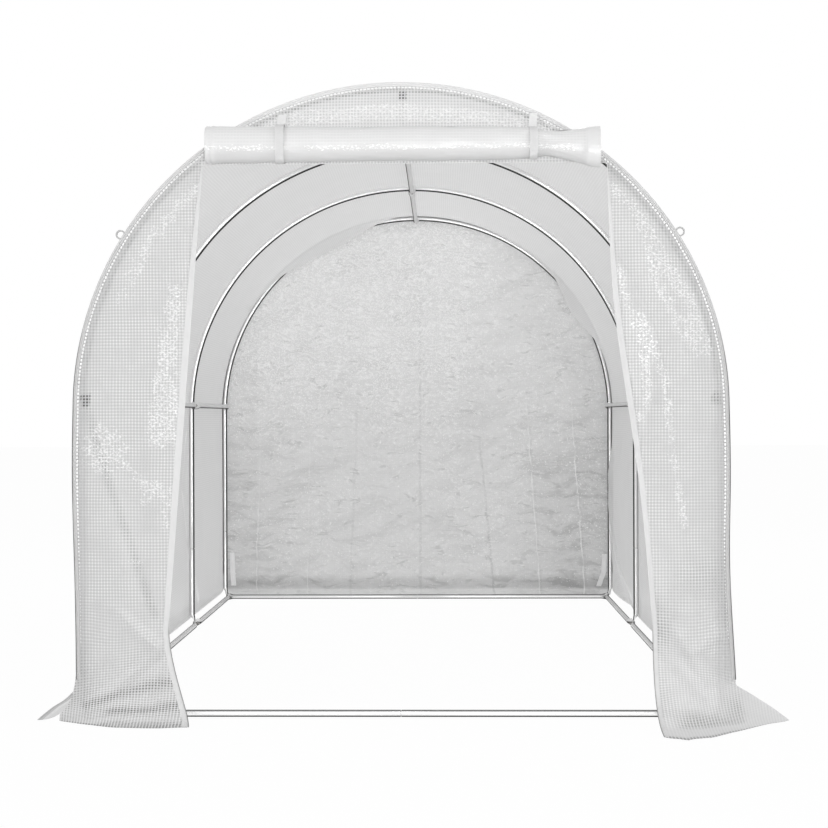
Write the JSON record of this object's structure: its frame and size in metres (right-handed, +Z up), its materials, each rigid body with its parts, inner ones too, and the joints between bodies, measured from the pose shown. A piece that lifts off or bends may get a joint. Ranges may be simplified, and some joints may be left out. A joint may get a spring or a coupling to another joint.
{
  "type": "polytunnel greenhouse",
  "caption": "Walk-in polytunnel greenhouse: bent steel hoops on a base frame with purlins, under a translucent grid cloth cover with its front door rolled up over the doorway.",
  "frame": {"origin": "on the ground in the middle of the footprint", "axes": "+Y from the doorway to the closed end, +Z up, +X to the right of someone looking in at the doorway"},
  "size_m": [2.3006, 3.4126, 1.9683],
  "materials": {
    "galvanised_tube": "zinc-bright, lightly brushed round tube",
    "grid_cloth": "translucent white film over a square grid of white tape yarns, glossy and creased",
    "rolled_cloth": "many turns of the same grid cloth, white where they stack up",
    "white_webbing": "matt white woven tape"
  },
  "bodies": {
    "root": {"base_rails_front": "galvanised_tube", "base_rails_middle": "galvanised_tube", "base_rails_rear": "galvanised_tube", "door_ties": "white_webbing", "front_bar_left": "galvanised_tube", "front_bar_right": "galvanised_tube", "front_panel_left": "grid_cloth", "front_panel_right": "grid_cloth", "front_skirts": "grid_cloth", "guy_loops_front": "white_webbing", "guy_loops_rear": "white_webbing", "hoop_1_arc_left": "galvanised_tube", "hoop_1_arc_right": "galvanised_tube", "hoop_1_legs": "galvanised_tube", "hoop_2_arc_left": "galvanised_tube", "hoop_2_arc_right": "galvanised_tube", "hoop_2_legs": "galvanised_tube", "hoop_3_arc_left": "galvanised_tube", "hoop_3_arc_right": "galvanised_tube", "hoop_3_legs": "galvanised_tube", "hoop_4_arc_left": "galvanised_tube", "hoop_4_arc_right": "galvanised_tube", "hoop_4_legs": "galvanised_tube", "lintel_panel": "grid_cloth", "rear_bar_left": "galvanised_tube", "rear_bar_right": "galvanised_tube", "rear_panel": "grid_cloth", "rear_skirt": "grid_cloth", "ridge_purlin_front": "galvanised_tube", "ridge_purlin_middle": "galvanised_tube", "ridge_purlin_rear": "galvanised_tube", "rolled_door": "rolled_cloth", "roof_left": "grid_cloth", "roof_right": "grid_cloth", "side_purlins_front": "galvanised_tube", "side_purlins_middle": "galvanised_tube", "side_purlins_rear": "galvanised_tube", "side_skirt_left": "grid_cloth", "side_skirt_right": "grid_cloth", "wall_left": "grid_cloth", "wall_right": "grid_cloth", "zip_tapes": "white_webbing"}
  },
  "joints": []
}
